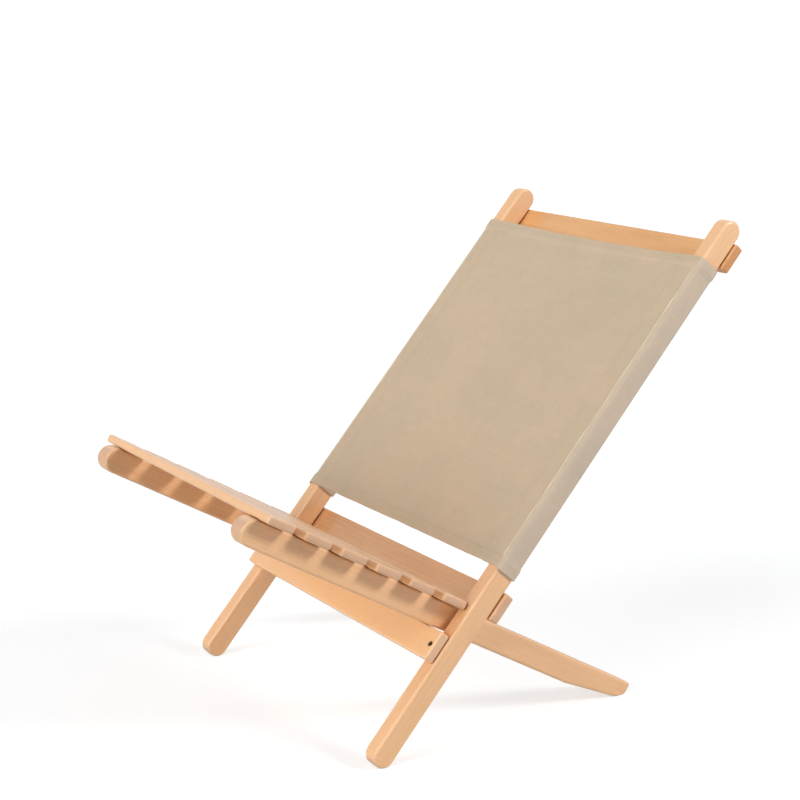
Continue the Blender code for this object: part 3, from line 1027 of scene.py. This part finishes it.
def hang_panel(reach, bottom, top):
    """Hangs the panel between the stiles by cloth simulation.  Gives how far each point of
    an even grid, by column across and row up, ends up behind the flat sheet."""
    places = [
        (x, 0, height)
        for x in np.linspace(-reach, reach, HANG_COLUMNS)
        for height in np.linspace(bottom, top, HANG_ROWS)
    ]
    mesh = bpy.data.meshes.new("hanging_panel")
    mesh.from_pydata(places, [], grid_faces(HANG_COLUMNS, HANG_ROWS))
    panel = add("hanging_panel", mesh, BACK.to_4x4())
    last = (HANG_COLUMNS - 1) * HANG_ROWS
    held = panel.vertex_groups.new(name="held")
    held.add([end + row for end in (0, last) for row in range(HANG_ROWS)], 1.0, "REPLACE")
    hang = panel.modifiers.new("hang", "CLOTH")
    hang.point_cache.frame_end = HANG_FRAMES
    hang.settings.vertex_group_mass = "held"
    for setting, value in HANG_SETTINGS.items():
        setattr(hang.settings, setting, value)
    scene = bpy.context.scene
    for moment in range(1, HANG_FRAMES + 1):
        scene.frame_set(moment)
    settled = panel.evaluated_get(bpy.context.evaluated_depsgraph_get()).data
    spots = np.zeros(len(settled.vertices) * 3, np.float32)
    settled.vertices.foreach_get("co", spots)
    depths = spots.reshape(HANG_COLUMNS, HANG_ROWS, 3)[:, :, 1].astype(float)
    bpy.data.objects.remove(panel)
    scene.frame_set(1)
    return np.clip(depths, -HANG_LIMIT, HANG_LIMIT)


class Cloth:
    """The canvas back as one sheet: columns of its course across the chair, each with an
    outward normal, by rows up the stiles."""

    def __init__(self):
        low, high = local_box("stile_left", BACK)
        box_low, box_high = local_box("canvas_back", BACK)
        half = half_course(low, high)
        mirrored = [(p * (-1, 1), n * (-1, 1)) for p, n in reversed(half[1:])]
        self.course = mirrored + half
        self.inner_x, self.outer_x = low.x, high.x
        self.front_y, self.rear_y = low.y, high.y
        self.bottom, self.top = box_low.z, box_high.z
        self.rows = hem_rows(self.bottom, self.top)
        self.reach = self.inner_x - CLOTH_OFF_STILE - FLAP_BEND
        self.hung = hang_panel(self.reach, self.bottom, self.top)
        self.across = self.lengths([p for p, n in self.course])
        self.up = self.lengths([np.array(row) for row in self.rows])
        self.points = np.array(
            [[self.point(p, n, *row) for row in self.rows] for p, n in self.course]
        )

    @staticmethod
    def lengths(points):
        """How far along the way through the points each of them is."""
        steps = [np.linalg.norm(b - a) for a, b in zip(points, points[1:])]
        return np.concatenate([[0], np.cumsum(steps)])

    def from_hem(self, height):
        """How far a height is from the nearer hem's edge."""
        return min(height - self.bottom, self.top - height)

    def panel_share(self, x):
        """0 where the stiles hold the cloth, 1 at the middle of the panel."""
        return max(0, 1 - (x / self.reach) ** 2)

    def hung_depth(self, x, height):
        """The simulated panel's depth at a place."""
        across = min(1, max(0, 0.5 + x / self.reach / 2))
        up = min(1, max(0, (height - self.bottom) / (self.top - self.bottom)))
        return between(self.hung, across * (HANG_COLUMNS - 1), up * (HANG_ROWS - 1))

    def sag(self, x, height):
        """How far the panel hangs behind the stiles' fronts."""
        share = self.panel_share(x)
        if self.hung is None:
            middle = math.sin(math.pi * (height - self.bottom) / (self.top - self.bottom))
            deep = PANEL_SAG * share * (SAG_AT_HEMS + (1 - SAG_AT_HEMS) * middle)
        else:
            deep = self.hung_depth(x, height)
        uneven = BROAD_HEIGHT * waves(BROAD_WAVES, x, height)
        uneven += FINE_HEIGHT * waves(FINE_WAVES, x, height)
        deep += smooth(share * WAVES_SET_IN) * uneven
        return deep + self.corner_folds(x, height) * smooth(share * FOLDS_SET_IN)

    def corner_folds(self, x, height):
        """Faint folds that fan out from each corner, where the cloth is pulled."""
        total = 0
        for corner, end in enumerate((self.bottom, self.top)):
            dx, dz = self.inner_x - abs(x), abs(height - end)
            reach = math.hypot(dx, dz)
            side = math.copysign(FOLD_SIDE_TURN, x) + corner
            ripple = math.cos(FOLDS_PER_RADIAN * math.atan2(dz, dx) + FOLD_TURN * side)
            total += FOLD_HEIGHT * ripple * bell(reach, FOLD_REACH) * (1 - bell(reach, FOLD_START))
        return total

    def droop(self, x, height):
        """How far the hems pull in towards the middle of the panel, and hang at the corners."""
        bottom_share = bell(height - self.bottom, HEM_REACH)
        top_share = bell(self.top - height, HEM_REACH)
        hollow = EDGE_HOLLOW * self.panel_share(x) * (bottom_share + TOP_HOLLOW * top_share)
        beyond = smooth((abs(x) - self.outer_x + CORNER_SPAN) / CORNER_SPAN)
        hang = CORNER_DROOP * beyond * bell(height - self.bottom, CORNER_REACH)
        wander = EDGE_WANDER * waves(EDGE_WAVES, x, height)
        return hollow - hang + wander * (bottom_share + top_share)

    def slack(self, p, height):
        """How far the pocket stands off the flats of the stile, between its edges."""
        share = (p[1] - self.front_y) / (self.rear_y - self.front_y)
        if not POCKET_FLAT[0] < share < POCKET_FLAT[1]:
            return 0
        puff = PUFF_MEAN + PUFF_CHANGE * waves(PUFF_WAVES, height, p[0])
        inside = smooth(self.from_hem(height) / PUFF_EASE)
        return math.sin(math.pi * share) * puff * (PUFF_AT_HEMS + (1 - PUFF_AT_HEMS) * inside)

    def ridge(self, p, n, height):
        """The seam that joins the panel to the pockets, near the front corner of a stile."""
        if n[1] > RIDGE_FACING:
            return 0
        middle = self.outer_x - RIDGE_FROM_CORNER + RIDGE_WANDER * waves(RIDGE_WAVES, height, p[0])
        lumps = LUMP_MEAN + LUMP_CHANGE * waves(LUMP_WAVES, height, p[0])
        ends = smooth((self.from_hem(height) - HEM) / RIDGE_EASE)
        return RIDGE_HEIGHT * lumps * ends * bell(abs(p[0]) - middle, RIDGE_WIDTH)

    def pucker(self, x, height):
        """Small outward gathers along the stitching of the hems, on the panel."""
        gather = PUCKER * max(0, PUCKER_MEAN + waves(PUCKER_WAVES, x, height))
        gather *= bell(self.from_hem(height) - HEM_STITCH, PUCKER_WIDTH)
        return gather * smooth(self.panel_share(x) * PUCKERS_SET_IN)

    def point(self, p, n, height, bulge):
        """Where the cloth is at a place on its course and a row."""
        out = bulge + self.slack(p, height) + self.ridge(p, n, height) + self.pucker(p[0], height)
        x, y = p + n * out
        if abs(x) < self.inner_x - CLOTH_OFF_STILE:
            y += self.sag(x, height)
        return x, y, height + self.droop(x, height)

    def on_surface(self, across, up):
        """A point in the middle of the cloth at a place in its flat cut."""
        i = np.interp(across, self.across, np.arange(len(self.across)))
        return between(self.points, i, np.interp(up, self.up, np.arange(len(self.up))))

    def frame_at(self, across, up, turn):
        """A point on the cloth's outer face with a direction along it and its normal."""
        step_x, step_y = PROBE * math.cos(turn), PROBE * math.sin(turn)
        here = self.on_surface(across, up)
        along = self.on_surface(across + step_x, up + step_y) - here
        side = self.on_surface(across - step_y, up + step_x) - here
        normal = np.cross(along, side)
        normal /= np.linalg.norm(normal)
        return here + normal * CLOTH / 2, along / np.linalg.norm(along), normal

    def build(self, material):
        mesh = bpy.data.meshes.new("canvas_sheet")
        columns, rows = self.points.shape[:2]
        mesh.from_pydata(self.points.reshape(-1, 3).tolist(), [], grid_faces(columns, rows))
        layer = mesh.uv_layers.new(name="flat_cut")
        places = np.array([(a, b) for a in self.across for b in self.up])
        index = np.zeros(len(mesh.loops), np.int32)
        mesh.loops.foreach_get("vertex_index", index)
        layer.data.foreach_set("uv", places[index].astype(np.float32).ravel())
        seam = self.outer_x - RIDGE_FROM_CORNER
        shares = {"rubbed": [], "pocket": []}
        for p, n in self.course:
            beyond = float(abs(p[0]) > seam or n[1] > PANEL_FACING)
            shares["pocket"] += [beyond] * rows
            # The ridge's share, where the cloth is painted lighter: wear and a painted highlight
            shares["rubbed"] += [self.ridge(p, n, row[0]) / RIDGE_HEIGHT for row in self.rows]
        for name, values in shares.items():
            mesh.attributes.new(name, "FLOAT", "POINT").data.foreach_set("value", values)
        mesh.materials.append(material)
        mesh.shade_smooth()
        sheet = add("canvas_sheet", mesh, BACK.to_4x4())
        thick = sheet.modifiers.new("cloth_thickness", "SOLIDIFY")
        thick.thickness = CLOTH
        thick.offset = 0
        thick.use_rim = True
        return sheet


def stitch_shape(shape, place, along, normal):
    """One stitch: a short thread that dives into the cloth at both ends."""
    side = np.cross(normal, along)
    rings = []
    for share in STITCH_RINGS:
        lift = STITCH_RADIUS * (STITCH_LIFT - STITCH_DIVE * share**4)
        middle = place + along * share * STITCH_LENGTH / 2 + normal * lift
        radius = STITCH_RADIUS * (1 - STITCH_TAPER * share**2)
        ring = []
        for step in range(STITCH_SIDES):
            angle = math.tau * step / STITCH_SIDES
            ray = side * math.cos(angle) + normal * math.sin(angle)
            ring.append(shape.verts.new(middle + radius * ray))
        rings.append(ring)
    for first, second in zip(rings, rings[1:]):
        for step in range(STITCH_SIDES):
            after = (step + 1) % STITCH_SIDES
            shape.faces.new((first[step], first[after], second[after], second[step]))
    shape.faces.new(list(reversed(rings[0])))
    shape.faces.new(rings[-1])


def build_stitching(cloth, material):
    """Rows along both hems, along both corner seams, and twice down each pocket's seam."""
    shape = bmesh.new()
    draw = np.random.default_rng(STITCH_SEED)
    width, height = cloth.across[-1], cloth.up[-1]
    middle = width / 2
    fold = HEM + math.pi * LAYER / 2
    between_hems = fold + HEM + HEM_EASE + CLEAR_OF_HEM
    full = fold + CLEAR_OF_FOLD
    pocket_in = middle - (cloth.inner_x - CLOTH_OFF_STILE - FLAP_BEND)
    corner = cloth.outer_x - RIDGE_FROM_CORNER - CORNER_STITCH
    rows = [
        ("across", fold + HEM_STITCH, CLEAR_OF_ENDS, width),
        ("across", height - fold - HEM_STITCH, CLEAR_OF_ENDS, width),
    ]
    for side in (-1, 1):
        rows.append(("up", middle + side * corner, between_hems, height))
        for inset in SEAM_STITCHES:
            rows.append(("up", middle + side * (middle - pocket_in - inset), full, height))
            rows.append(("up", middle + side * (middle - SEAM_FLAP + inset), full, height))
    for way, fixed, start, length in rows:
        for i in range(int((length - 2 * start) / STITCH_PITCH)):
            moving = start + (i + 0.5) * STITCH_PITCH
            beside = fixed + float(draw.normal(0, STITCH_WOBBLE))
            if way == "across":
                stitch_shape(shape, *cloth.frame_at(moving, beside, 0))
            else:
                stitch_shape(shape, *cloth.frame_at(beside, moving, math.pi / 2))
    stitching = add_object("canvas_stitching", shape, BACK.to_4x4(), material)
    stitching.data.shade_smooth()
    return stitching


# ---- the chair


def build_camera():
    camera = add("camera", bpy.data.cameras.new("camera"))
    camera.location = CAMERA_PLACE
    camera.rotation_euler = (math.pi / 2 - CAMERA_DIP, 0, CAMERA_HEADING)
    camera.data.lens = CAMERA_LENS
    camera.data.clip_start, camera.data.clip_end = CAMERA_NEAR, CAMERA_FAR
    bpy.context.scene.camera = camera


def build_back_frame(steel):
    body = "back_frame"
    holes = build_screws(steel)
    for side, place in SIDES.items():
        seed = STILE_SEED + place
        timber(f"stile_{side}", body, UP, stile_outline, STILE_EDGE, seed, holes)
    for node, seed in BOARD_SEEDS.items():
        timber(node, body, ACROSS_UPRIGHT, oblong, BOARD_EDGE, seed, holes)


def build_canvas():
    cloth = Cloth()
    sheet = cloth.build(canvas_material())
    stitching = build_stitching(cloth, thread_material())
    for piece in (sheet, stitching):
        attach(piece, "back_frame")
    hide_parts("canvas_back")


def build_seat_frame():
    body = "seat_frame"
    slats = sorted(n for n in NODES if n.startswith("slat") and "dowel" not in n)
    holes = build_dowels(len(slats))
    for side, place in SIDES.items():
        node = f"rail_{side}"
        low, high = local_box(node, SEAT)
        outline = partial(rail_outline, middle=(low + high) / 2)
        timber(node, body, ALONG, outline, RAIL_EDGE, RAIL_SEED + place, holes)
    for index, node in enumerate(slats):
        corner = LAST_SLAT_CORNER if node == slats[-1] else 0
        outline = partial(slat_outline, rear_corner=corner)
        timber(node, body, ACROSS_FLAT, outline, SLAT_EDGE, SLAT_SEED + index, holes)


# Far lamps: azimuth from the front to the sitter's left, elevation and spread in degrees,
# how brightly it lights a white surface that faces it, and its colour
WARM_WHITE = (1.0, 0.985, 0.965)
SOFTBOXES = {
    "key": (132, 30, 17, 0.53, (1.0, 0.985, 0.96)),
    "front": (4, 36, 50, 0.57, WARM_WHITE),
    "low_front": (4, 8, 40, 0.31, WARM_WHITE),
    "top": (180, 70, 50, 0.08, (1.0, 1.0, 1.0)),
}
# A square lamp beside the chair's head, with its strength as it is at the target
KICKER_PLACE, KICKER_TARGET = Vector((1.0, 0.65, 0.85)), Vector((0.19, 0.24, 0.48))
KICKER_SIZE, KICKER_STRENGTH, KICKER_COLOUR = 0.3, 0.24, (0.97, 1.0, 1.12)
ROOM_LIGHT = 0.1
ROOM_WHITE = 1.0  # how bright the room looks, and how bright its reflections are


def add_lamp(name, kind, strength, colour, away):
    """A lamp that shines on the chair from the direction away."""
    data = bpy.data.lights.new(name, kind)
    data.energy = strength * math.pi
    data.color = colour
    lamp = add(name, data)
    lamp.rotation_euler = away.to_track_quat("Z", "Y").to_euler()
    return lamp


def build_lamps():
    for name, (azimuth, elevation, spread, strength, colour) in SOFTBOXES.items():
        a, e = math.radians(azimuth), math.radians(elevation)
        away = Vector((math.sin(a) * math.cos(e), -math.cos(a) * math.cos(e), math.sin(e)))
        add_lamp(name, "SUN", strength, colour, away).data.angle = math.radians(spread)
    away = KICKER_PLACE - KICKER_TARGET
    strength = KICKER_STRENGTH * math.pi * away.length_squared
    kicker = add_lamp("head_kicker", "AREA", strength, KICKER_COLOUR, away)
    kicker.data.size = KICKER_SIZE
    kicker.location = KICKER_PLACE


def build_room():
    """An evenly white room, dimmer as a lamp than it looks."""
    world = bpy.data.worlds.new("studio")
    world.use_nodes = True
    s = NodeTree(world.node_tree)
    path = s.node("ShaderNodeLightPath").outputs
    seen = s.math("MAXIMUM", path["Is Camera Ray"], path["Is Glossy Ray"])
    background = s.tree.nodes["Background"].inputs
    s.put(background["Color"], (1, 1, 1, 1))
    strength = s.scaled(seen, ROOM_WHITE - ROOM_LIGHT, ROOM_LIGHT)
    s.put(background["Strength"], strength)
    bpy.context.scene.world = world


def build_studio():
    shape = bmesh.new()
    bmesh.ops.create_grid(shape, x_segments=1, y_segments=1, size=FLOOR_HALF)
    add_object("floor", shape, Matrix(), floor_material())
    build_room()
    bpy.context.scene.view_settings.view_transform = "Standard"
    build_lamps()


def main():
    build_camera()
    build_back_frame(steel_material())
    build_canvas()
    build_seat_frame()
    for item in [o for o in bpy.data.objects if o.name.endswith("_hole") or "recess" in o.name]:
        bpy.data.objects.remove(item)
    build_studio()


main()
